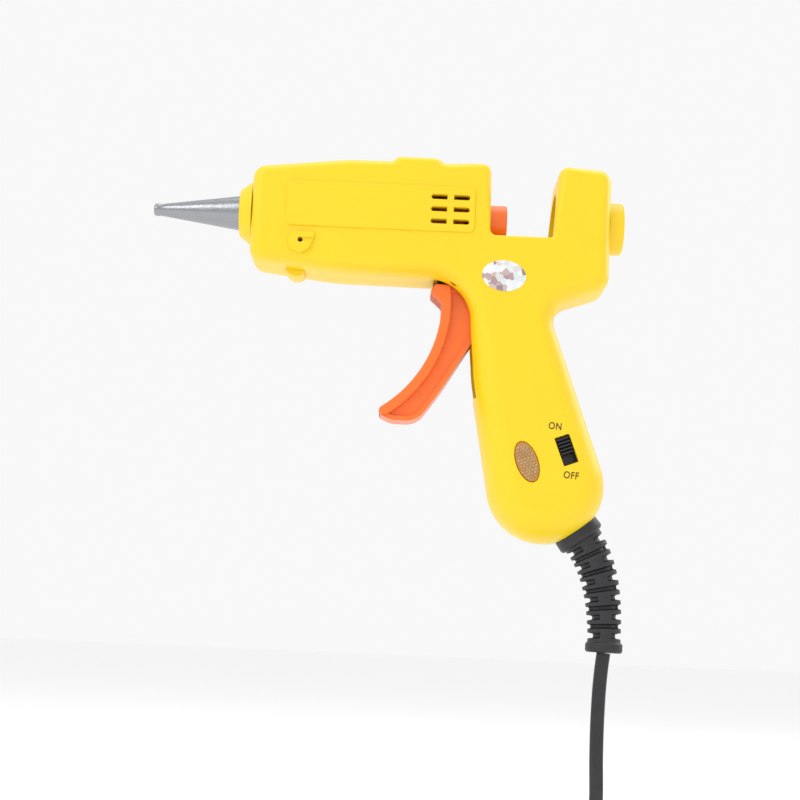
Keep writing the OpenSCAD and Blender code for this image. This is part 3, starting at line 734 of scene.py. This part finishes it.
def buildHalf(side):
    h = housingSettings
    name = "leftHalf" if side < 0 else "rightHalf"
    shell = halfShell(name, side, yellowAbs)
    face = side * h["halfT"]
    additions = []
    y0, y1 = inOrder(face - side * 0.5, face + side * h["panelRise"])
    ends = (side < 0, side > 0)
    additions.append(plate("panel", roundedBox(h["panelX"][0], h["panelZ"][0], h["panelX"][1],
        h["panelZ"][1], 1.8),
                           y0, y1, 0.42, yellowAbs, 5, ends))
    bossCorners = [(-79.6, 52.6, 0.5, 0, 0), (-77.3, 55, 0.8, 0, 0), (-71.1, 55, 0.4, 0, 0),
        (-70.8, 53.4, 0.4, 0, 0),
                   (-72.4, 49.6, 1, 0, 0), (-75.2, 47.9, 0.8, 0, 0), (-78.4, 49.2, 1, 0, 0)]
    boss = [(p[0], p[1]) for p in outlineOf(bossCorners, 5, 50)]
    y0, y1 = inOrder(face - side * 0.5, face + side * 1.1)
    additions.append(plate("standBoss", boss, y0, y1, 0.3, yellowAbs, 4, ends))
    y0, y1 = inOrder(0, side * 5)
    foot = [(-80, 46), (-80.2, 44.2), (-79, 43.1), (-77.6, 42.4), (-75.8, 42.4), (-74.6, 43), (-74, 44),
        (-74, 45.6)]
    additions.append(plate("foot", foot, y0, y1, 0.5, yellowAbs, 3, (side < 0, side > 0)))
    for x, z in h["screws"]:
        y0, y1 = inOrder(side * 0.03, side * 12.6)
        additions.append(post("screwPost", x, z, y0, y1, 3 if side < 0 else 3.7, yellowAbs))
    for x, z, r, near in ((-24, 45, 3.2, 9.8), (h["socket"][0], h["socket"][1], 2.2, 10.6)):
        y0, y1 = inOrder(side * near, side * 12.6)
        additions.append(post("boss", x, z, y0, y1, r, yellowAbs))
    combine(shell, additions, "UNION", 30)
    cuts = [opening(points, side, 16, face=h["halfT"] + h["panelRise"]) for points in ventOutlines()]
    cuts.append(opening(circlePoints(h["socket"][0], h["socket"][1], 0.8, 24), side, 16, face=15.1, inner=9,
        flare=0.12))
    groove = [(-75.3, 53.1), (-70, 53.1), (-70, 51.9), (-75.3, 51.9)]
    cuts.append(opening(groove, side, 16, face=15.1, inner=14.55, flare=0.05))
    if side < 0:
        cuts.append(opening(tiltedAt(h["lens"], ellipsePoints(3.4, 6.6), h["tilt"]), side))
        cuts.append(opening(tiltedAt(h["switch"], roundedBox(-2.4, -4.6, 2.4, 4.6, 0.35), h["tilt"]), side))
    else:
        for x, z in h["screws"]:
            cuts.append(opening(circlePoints(x, z, 2.7, 32), side, inner=8))
    # openings that both halves share
    axis = h["axisZ"]
    cuts.append(solidRound("cut", (h["frontX"] - 2, 0, axis), (h["frontX"] + 4, 0, axis), 8.7))
    cuts.append(solidRound("cut", (-18.5, 0, axis), (-14, 0, axis), 6.3))
    arch = [(-10.4, -6.7), (-10.4, 0)] + [(10.4 * math.cos(math.radians(a)),
        10.4 * math.sin(math.radians(a)))
                                          for a in range(176, 0, -4)] + [(10.4, 0), (10.4, -6.7)]
    verts = [(x, y, axis + z) for x in (3.5, 9) for y, z in arch]
    cuts.append(makePiece("cut", verts, capped(len(arch), 2), None))
    cuts.append(solidRound("cut", (h["rearX"] - 4, 0, axis), (h["rearX"] + 2, 0, axis), 6.95))
    cuts.append(blockPiece((-32.6, -7.1, 5.5), (-12, 7.1, 44.6)))
    cuts.append(post("cut", -24, 45, -9.8, 9.8, 4.6, None))
    cuts.append(solidRound("cut", exitPoint(-6), exitPoint(-0.2), 5))
    cuts.append(solidRound("cut", exitPoint(0), exitPoint(12), 7.9))
    for tool in cuts:
        combine(shell, [tool], "DIFFERENCE", 30)
    work = bmesh.new()  # what a cutter leaves standing outside the wall goes too
    work.from_mesh(shell.data)
    bmesh.ops.delete(work, geom=[f for f in work.faces if max(abs(v.co.y) for v in f.verts) > 15.5 * mm],
        context="FACES")
    work.to_mesh(shell.data)
    work.free()
    shell.data.materials.clear()
    shell.data.materials.append(yellowAbs)
    for polygon in shell.data.polygons:
        polygon.material_index = 0
    even = shell.modifiers.new("evenNormals", "WEIGHTED_NORMAL")
    even.keep_sharp = True
    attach(shell, "housing")
    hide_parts("left_shell" if side < 0 else "right_shell")
    return shell


leftHalf = buildHalf(-1)
rightHalf = buildHalf(1)
print("housing halves made")

# Nozzle, collar and rear ring
nozzleSettings = {"tipX": -123.9, "rootX": -95.9, "rootR": 5.6}


def buildNozzle():
    n = nozzleSettings
    outline = [(n["tipX"] + 0.25, 0.9), (n["tipX"], 1.15), (n["tipX"] + 0.02, 1.6), (n["tipX"] + 0.4, 1.95),
        (n["tipX"] + 1.1, 2.05),
               (n["tipX"] + 1.7, 1.98), (n["tipX"] + 2.1, 1.9)]
    for k in range(1, 15):
        t = k / 14
        outline.append((n["tipX"] + 2.1 + t * (n["rootX"] - n["tipX"] - 2.6),
            1.9 + t * (n["rootR"] - 1.95)))
    outline += [(n["rootX"], n["rootR"]), (-90.9, n["rootR"]), (-90.9, 4.4), (-84.5, 4.4), (-84.5, 2.8),
        (-95.9, 2.8), (-104, 0.9)]
    nozzle = turnedPiece("meltNozzle", outline, castNozzle, sides=128)
    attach(nozzle, "housing")
    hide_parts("nozzle")
    collar = turnedPiece("nozzleCollar", [(-95.6, 5.75), (-95.9, 6.05), (-95.9, 7.3), (-95.75, 7.65),
        (-95.4, 7.9), (-92.5, 10.1),
                                          (-92.2, 10.35), (-91.9, 10.4), (-91.7, 10.3), (-91.7, 8.5),
                                              (-88.9, 8.5), (-88.9, 7.2),
                                          (-91.1, 7.2), (-91.1, 5.75)], yellowAbs)
    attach(collar, "housing")
    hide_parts("nozzle_collar")
    ring = turnedPiece("stickRing", [(26.9, 3.9), (27.9, 5.0), (27.95, 5.4), (27.9, 7.6), (27.7, 8.1),
        (27.2, 8.35), (26.6, 8.4),
                                     (23.2, 8.4), (23.2, 6.8), (21.0, 6.8), (21.0, 7.8), (19.2, 7.8),
                                         (19.2, 3.9)], yellowAbs)
    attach(ring, "housing")
    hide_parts("rear_ring")


buildNozzle()

# Trigger and feed
triggerCorners = [(-28.6, 46, 2), (-19.6, 46, 2), (-18.9, 24.4, 2.2), (-29, 7.4, 60), (-36, -2.6, 7),
    (-44.3, -2.6, 6),
                  (-49.9, 0, 1.6), (-30.2, 13, 40.4), (-29.6, 35.4, 1.6), (-33.6, 39, 1), (-31.9, 41.7, 1),
                      (-28.6, 41.7, 1)]


def buildTrigger():
    outline = [(p[0], p[1]) for p in outlineOf([c + (0, 0) for c in triggerCorners], 7, 60)]
    body = plate("body", outline, -5.3, 5.3, 0, orangeAbs)
    pocketCorners = [(-27.5, 39.5, 1), (-20.9, 39.5, 1), (-20.3, 25, 1.6), (-30.3, 8.2, 58),
        (-36.6, -1.2, 5.6),
                     (-43.6, -1.2, 3), (-46.5, 0.1, 0.8), (-34, 10, 30), (-28, 26, 30)]
    pocket = [(p[0], p[1]) for p in outlineOf([c + (0, 0) for c in pocketCorners], 12, 60)]
    combine(body, [plate("pocket", pocket, -8, -4.1, 0, None), plate("pocket", pocket, 4.1, 8, 0, None)],
        "DIFFERENCE", 30)
    front = [p for p in outline if math.dist(p, (-70, 35)) < 42.4 and -1.0 < p[1] < 41.72 and p[0] < -28]
    lowZ, highZ = -0.9, 41.4
    back = [(-70 + math.sqrt(43.4 ** 2 - (lowZ + (highZ - lowZ) * k / 30 - 35) ** 2),
        lowZ + (highZ - lowZ) * k / 30) for k in range(31)]
    outlineStrip = sorted(front, key=lambda p: p[1]) + back[::-1]
    face = plate("flange", outlineStrip, -6.5, 6.5, 0.35, orangeAbs, 4)
    hub = post("hub", -24, 45, -9.4, 9.4, 4.2, orangeAbs, 0.3)
    pieces = [body, face, hub]
    for y in (-9.4, 6.6):
        c, s = math.cos(math.radians(8)), math.sin(math.radians(8))
        fork = [(-3.2, 0), (-3.2, 20.2), (-2.6, 21), (-1.8, 21), (-1.8, 14.9), (-1.4, 14.5), (1.4, 14.5),
            (1.8, 14.9), (1.8, 21),
                (2.6, 21), (3.2, 20.2), (3.2, 0)]
        pieces.append(plate("fork", [(-24 + x * c + z * s, 45 - x * s + z * c) for x, z in fork], y,
            y + 2.8, 0.2, orangeAbs, 2))
    for x, z in ((-37.2, 5.6), (-25.6, 33.4)):
        for side in (-1, 1):  # round marks of the ejector pins
            y0, y1 = sorted((side * 4.0, side * 4.22))
            pieces.append(post("mark", x, z, y0, y1, 2.1, orangeAbs, 0.08))
    trigger = join("fingerTrigger", pieces, 30)
    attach(trigger, "trigger")
    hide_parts("trigger")
    return trigger


def buildCarriage():
    tube = turnedPiece("tube", [(-46, 3.9), (-46, 5.8), (-45.8, 6), (-10, 6), (-9.75, 5.9), (-9.7, 5.7),
        (-9.7, 4.2), (-9.9, 3.9)],
                       orangeAbs)
    pieces = [tube]
    pinX = -24 + 18.5 * math.tan(math.radians(8))
    for y0, y1 in ((-10.2, -5.2), (5.2, 10.2)):
        pieces.append(post("pin", pinX, 63.5, y0, y1, 1.5, orangeAbs, 0.2))
    for y in (-3.8, 2.3):
        pieces.append(plate("lug", [(-35.6, 53.4), (-35.6, 58.4), (-30, 58.4), (-30, 53.4)], y, y + 1.5,
            0.15, orangeAbs, 2))
    pieces.append(plate("hook", [(-31, 50.3), (-31, 58.4), (-30, 58.4), (-30, 50.3)], -3.8, 3.8, 0.15,
        orangeAbs, 2))
    carriage = join("feedCarriage", pieces, 30)
    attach(carriage, "carriage")
    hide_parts("carriage")


buildTrigger()
buildCarriage()
print("trigger and carriage made")

# Return spring
springSettings = {"from": -29.7, "to": -1.6, "turns": 14, "coilR": 1.45, "wire": 0.28, "z": 52.3}


def buildSpring():
    s = springSettings
    steps = s["turns"] * 24
    route, wides = [], []
    for i in range(steps + 1):
        a = 2 * math.pi * s["turns"] * i / steps
        out = Vector((0, math.cos(a), math.sin(a)))
        route.append(Vector((s["from"] + (s["to"] - s["from"]) * i / steps, 0, s["z"])) + out * s["coilR"])
        wides.append(out)
    wire = [(s["wire"] * math.cos(2 * math.pi * k / 10),
        s["wire"] * math.sin(2 * math.pi * k / 10)) for k in range(10)]
    spring = sweepSection("returnSpring", route, wides, lambda i: wire, zincSteel)
    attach(spring, "housing")
    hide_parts("return_spring")
    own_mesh(spring)


# Boot
bootSettings = {"start": (17.2, -36.5), "bends": ((24.8, -46.2), (25.9, -58.6)), "end": (25.6, -72.6),
    "pitch": 5.8,
                "firstGroove": 6.5, "grooveWide": 1.25, "slotWide": 1.5, "depth": 1.7}


def buildBoot():
    b = bootSettings
    p0, p1, p2, p3 = (Vector(p) for p in (b["start"], b["bends"][0], b["bends"][1], b["end"]))
    line = [p0 * (1 - t) ** 3 + p1 * 3 * t * (1 - t) ** 2 + p2 * 3 * t * t * (1 - t) + p3 * t ** 3
            for t in [k / 400 for k in range(401)]]
    lengths = [0]
    for a, c in zip(line, line[1:]):
        lengths.append(lengths[-1] + (c - a).length)
    total = lengths[-1]
    rings = 190
    verts, count = [], 72

    def edgeStep(x, half, soft):
        t = min(1, max(0, (half - abs(x)) / soft + 0.5))
        return t * t * (3 - 2 * t)

    for i in range(rings + 1):
        s = total * i / rings
        j = min(range(401), key=lambda k: abs(lengths[k] - s))
        here = line[j]
        t = (line[min(j + 1, 400)] - line[max(j - 1, 0)]).normalized()
        side = Vector((-t.y, t.x))  # towards the boot's right edge
        base = 6.5 - 1.3 * min(1, s / (total * 0.85))
        if s > total - 3.2:
            base += 0.65 * edgeStep(s - (total - 1.5), 1.5, 1.0)
        if s > total - 0.5:
            base -= 0.35 * (s - total + 0.5) / 0.5
        for k in range(count):
            a = 2 * math.pi * k / count
            c, d = math.cos(a), math.sin(a)  # c towards the front, d towards the side
            depth = 0
            if s < total - 3.6:
                g = (s - b["firstGroove"] + b["pitch"] / 2) % b["pitch"] - b["pitch"] / 2
                if s > b["firstGroove"] - 1.5:
                    bridge = 1 - edgeStep(abs(d) - 1, 0.06, 0.05)
                    depth = max(depth, edgeStep(g, b["grooveWide"] / 2, 0.35) * (0.55 + 0.45 * bridge))
                m = (s - b["firstGroove"]) % b["pitch"] - b["pitch"] / 2
                if s > b["firstGroove"] - b["pitch"] + 1:
                    openSide = edgeStep(1 - abs(d), 0.62, 0.12)
                    depth = max(depth, edgeStep(m, b["slotWide"] / 2, 0.35) * openSide)
            seam = 0.12 * edgeStep(a if a < math.pi else a - 2 * math.pi, 0.03, 0.06)
            r = base - b["depth"] * depth + (seam if s < total - 3.4 else 0)
            v = Vector((here.x, 0, here.y)) + Vector((side.x, 0, side.y)) * (r * d) + Vector((0, -1,
                0)) * (r * c)
            verts.append(v)
    t = (line[-1] - line[-2]).normalized()
    side = Vector((-t.y, t.x))
    for r, back in ((4.3, 0), (4.1, 0.4), (3.9, 3.5)):  # the dark hollow at its end
        for k in range(count):
            a = 2 * math.pi * k / count
            here = line[-1] - t * back
            verts.append(Vector((here.x, 0, here.y)) + Vector((side.x, 0,
                side.y)) * (r * math.sin(a)) + Vector((0, -1, 0)) * (r * math.cos(a)))
    tail = makePiece("bootTail", verts, capped(count, rings + 4), blackPvc, 50)
    profile = [(-3.9, 6), (-2.5, 6), (-2.5, 4.9), (0.02, 4.9), (0.02, 7.2), (0.35, 7.6), (3.2, 7.75),
        (3.8, 7.6), (4.25, 7.1),
               (4.4, 6.4)]
    verts = []
    for along, r in profile:
        centre = exitPoint(along)
        right = (exitPoint(0, 1) - exitPoint(0)).normalized()
        verts += [centre + right * (r * math.cos(2 * math.pi * k / 96)) + Vector((0, 1,
            0)) * (r * math.sin(2 * math.pi * k / 96))
                  for k in range(96)]
    flange = makePiece("bootFlange", verts, capped(96, len(profile)), blackPvc, 40)
    boot = join("leadBoot", [tail, flange], 40)
    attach(boot, "housing")
    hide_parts("strain_relief")


buildSpring()
buildBoot()
print("spring and boot made")

# Lamp, switch, sticker and print
def tiltPiece(piece, place, degrees):
    turn = Matrix.Rotation(math.radians(-degrees), 4, "Y")
    piece.data.transform(Matrix.Translation(Vector((place[0], 0, place[1])) * mm) @ turn)
    return piece


def buildLens():
    rings, count = [], 72
    for grow, y in ((0.7, -11.25), (0.7, -11.95), (-0.12, -12.0), (-0.12, -13.95), (-0.2, -14.2),
        (-0.55, -14.32), (-1.1, -14.36),
                    (-2.0, -14.42), (-2.9, -14.45)):
        rings.append([((3.4 + grow) * math.cos(2 * math.pi * k / count), y,
            (6.6 + grow) * math.sin(2 * math.pi * k / count))
                      for k in range(count)])
    body = makePiece("lensBody", [v for ring in rings for v in ring], capped(count, len(rings)), amberLens,
        40)
    pieces = [body]
    for row in range(11):
        for column in range(5):
            x = (column - 2) * 1.02 + (0.25 if row % 2 else -0.25)
            z = (row - 5) * 0.98
            if (x / 2.75) ** 2 + (z / 5.7) ** 2 < 1:
                verts, n = [], 10
                for depth, r in ((0.0, 0.3), (0.1, 0.28), (0.18, 0.2), (0.22, 0.08)):
                    verts += [(x + r * math.cos(2 * math.pi * k / n), -14.4 - depth,
                        z + r * math.sin(2 * math.pi * k / n)) for k in range(n)]
                # each dot uses the paler lens copy, a painted highlight on the dots
                pieces.append(makePiece("dot", verts, capped(n, 4), paintedHighlightDots, 60))
    lens = tiltPiece(join("lampLens", pieces, 40), housingSettings["lens"], 21)
    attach(lens, "housing")
    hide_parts("indicator_lens")


def buildKnob():
    half, top, low = 2.1, 4.3, -1.2
    profile = [(low, -8.8), (low, -12.2)]
    ridges = 5
    pitch = (top - low) / ridges
    for k in range(ridges):
        z = low + k * pitch
        profile += [(z + 0.08, -13.2), (z + 0.25, -13.45), (z + pitch - 0.42, -13.45),
            (z + pitch - 0.26, -13.2), (z + pitch - 0.22, -12.75)]
    profile += [(top, -12.75), (top, -8.8)]
    verts = [(x, y, z) for x in (-half, -half + 0.12, half - 0.12, half) for z, y in
             [(zz, yy + (0.12 if abs(x) == half and yy < -12 else 0)) for zz, yy in profile]]
    knob = tiltPiece(makePiece("switchKnob", verts, capped(len(profile), 4), blackNylon, 25),
        housingSettings["switch"], 21)
    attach(knob, "switch_knob")
    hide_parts("switch_knob")


def buildSticker():
    points = tiltedAt((-10.6, 43.6), ellipsePoints(6.95, 4.95, 72), -3.5)
    sticker = plate("inspectionSticker", points, -14.14, -14.0, 0.06, stickerFoil, 2, (True, False))
    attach(sticker, "housing")
    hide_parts("inspection_sticker")


def buildPrint():
    # pad print in brown ink, the plain words of the switch's two ends
    ink, tree, shader = startMaterial("pad-print ink, brown", {"Roughness": 0.45})
    place = addNode(tree, "ShaderNodeTexCoord")
    worn = addNode(tree, "ShaderNodeTexNoise", values={"Scale": 900, "Detail": 2},
        links={"Vector": (place, "Object")})
    blendColour(tree, shader, worn, "#4A3208", "#6B4C0C")
    for words, x, z in (("ON", 7.0, -3.5), ("OFF", 12.4, -18.7)):
        data = bpy.data.curves.new("print" + words, "FONT")
        data.body = words
        data.size = 3.1 * mm
        data.align_x = data.align_y = "CENTER"
        data.extrude = 0.02 * mm
        data.offset = 0.06 * mm
        data.space_character = 1.12
        holder = bpy.data.objects.new("print" + words, data)
        bpy.context.collection.objects.link(holder)
        bpy.context.view_layer.update()
        mesh = bpy.data.meshes.new_from_object(holder.evaluated_get(bpy.context.evaluated_depsgraph_get()))
        bpy.data.objects.remove(holder)
        turn = Matrix.Rotation(math.radians(4), 4, "Y") @ Matrix.Rotation(math.radians(90), 4, "X")
        mesh.transform(Matrix.Translation(Vector((x, -14.01, z)) * mm) @ turn @ Matrix.Diagonal((0.82, 1, 1,
            1)))
        mesh.materials.clear()
        mesh.materials.append(ink)
        piece = bpy.data.objects.new("print" + words, mesh)
        bpy.context.collection.objects.link(piece)
        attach(piece, "housing")


buildLens()
buildKnob()
buildSticker()
buildPrint()
print("lens, knob, sticker and print made")

# Pieces kept from the frame
keptFinish = {"heater_barrel": castBarrel, "ptc_heater": ceramicGrey, "heater_film": amberFilm,
    "inlet_sleeve": siliconeGrey,
              "sleeve_clamp": zincSteel, "gripper_pawl": zincSteel, "gripper_pin": zincSteel,
                  "trigger_pin": zincSteel,
              "indicator_lamp": neonGlass, "lamp_resistor": tanLacquer, "switch_body": blackNylon,
                  "switch_contacts": goldBrass,
              "cord_clamp": blackNylon, "clamp_screws": zincSteel, "housing_screws": zincSteel,
                  "wire_live": brownWire,
              "wire_switched": brownWire, "wire_neutral": blueWire}
for node, finish in keptFinish.items():
    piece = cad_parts[node]
    for slot in piece.material_slots:
        slot.link = "OBJECT"
        slot.material = finish
    if not piece.material_slots:
        piece.data.materials.append(finish)
print("kept pieces finished")

# Studio
studioSettings = {"floorZ": -147.0, "floorSize": 9000, "world": 0.94}


def buildStudio():
    s = studioSettings
    size = s["floorSize"]
    floor = makePiece("studioFloor", [(-size, -size, s["floorZ"] - 0.05), (size, -size, s["floorZ"] - 0.05),
                                      (size, size, s["floorZ"] - 0.05), (-size, size, s["floorZ"] - 0.05)],
                                          [[0, 1, 2, 3]], None)
    paper, tree, shader = startMaterial("paper, matt white", {"Roughness": 0.9})
    place = addNode(tree, "ShaderNodeTexCoord")
    fibre = addNode(tree, "ShaderNodeTexNoise", values={"Scale": 400}, links={"Vector": (place, "Object")})
    blendColour(tree, shader, fibre, "#FAFAFA", "#FDFDFD")
    floor.data.materials.append(paper)
    world = bpy.data.worlds.new("studioLight")
    world.use_nodes = True
    world.node_tree.nodes["Background"].inputs["Color"].default_value = linearColour("#FFFFFF")
    world.node_tree.nodes["Background"].inputs["Strength"].default_value = s["world"]
    bpy.context.scene.world = world
    bpy.context.scene.view_settings.view_transform = "Standard"
    for name, place, size, power in (("keySoftbox", (-700, -700, 700), 600, 3.2),
        ("topSoftbox", (100, 100, 900), 700, 2),
                                     ("rimSoftbox", (700, 500, 500), 500, 1.5)):
        data = bpy.data.lights.new(name, "AREA")
        data.size = size * mm
        data.energy = power
        light = bpy.data.objects.new(name, data)
        bpy.context.collection.objects.link(light)
        light.location = Vector(place) * mm
        light.rotation_mode = "QUATERNION"
        light.rotation_quaternion = (Vector((-30, 0, 10)) * mm - light.location).to_track_quat("-Z", "Y")


buildStudio()
print("studio made")
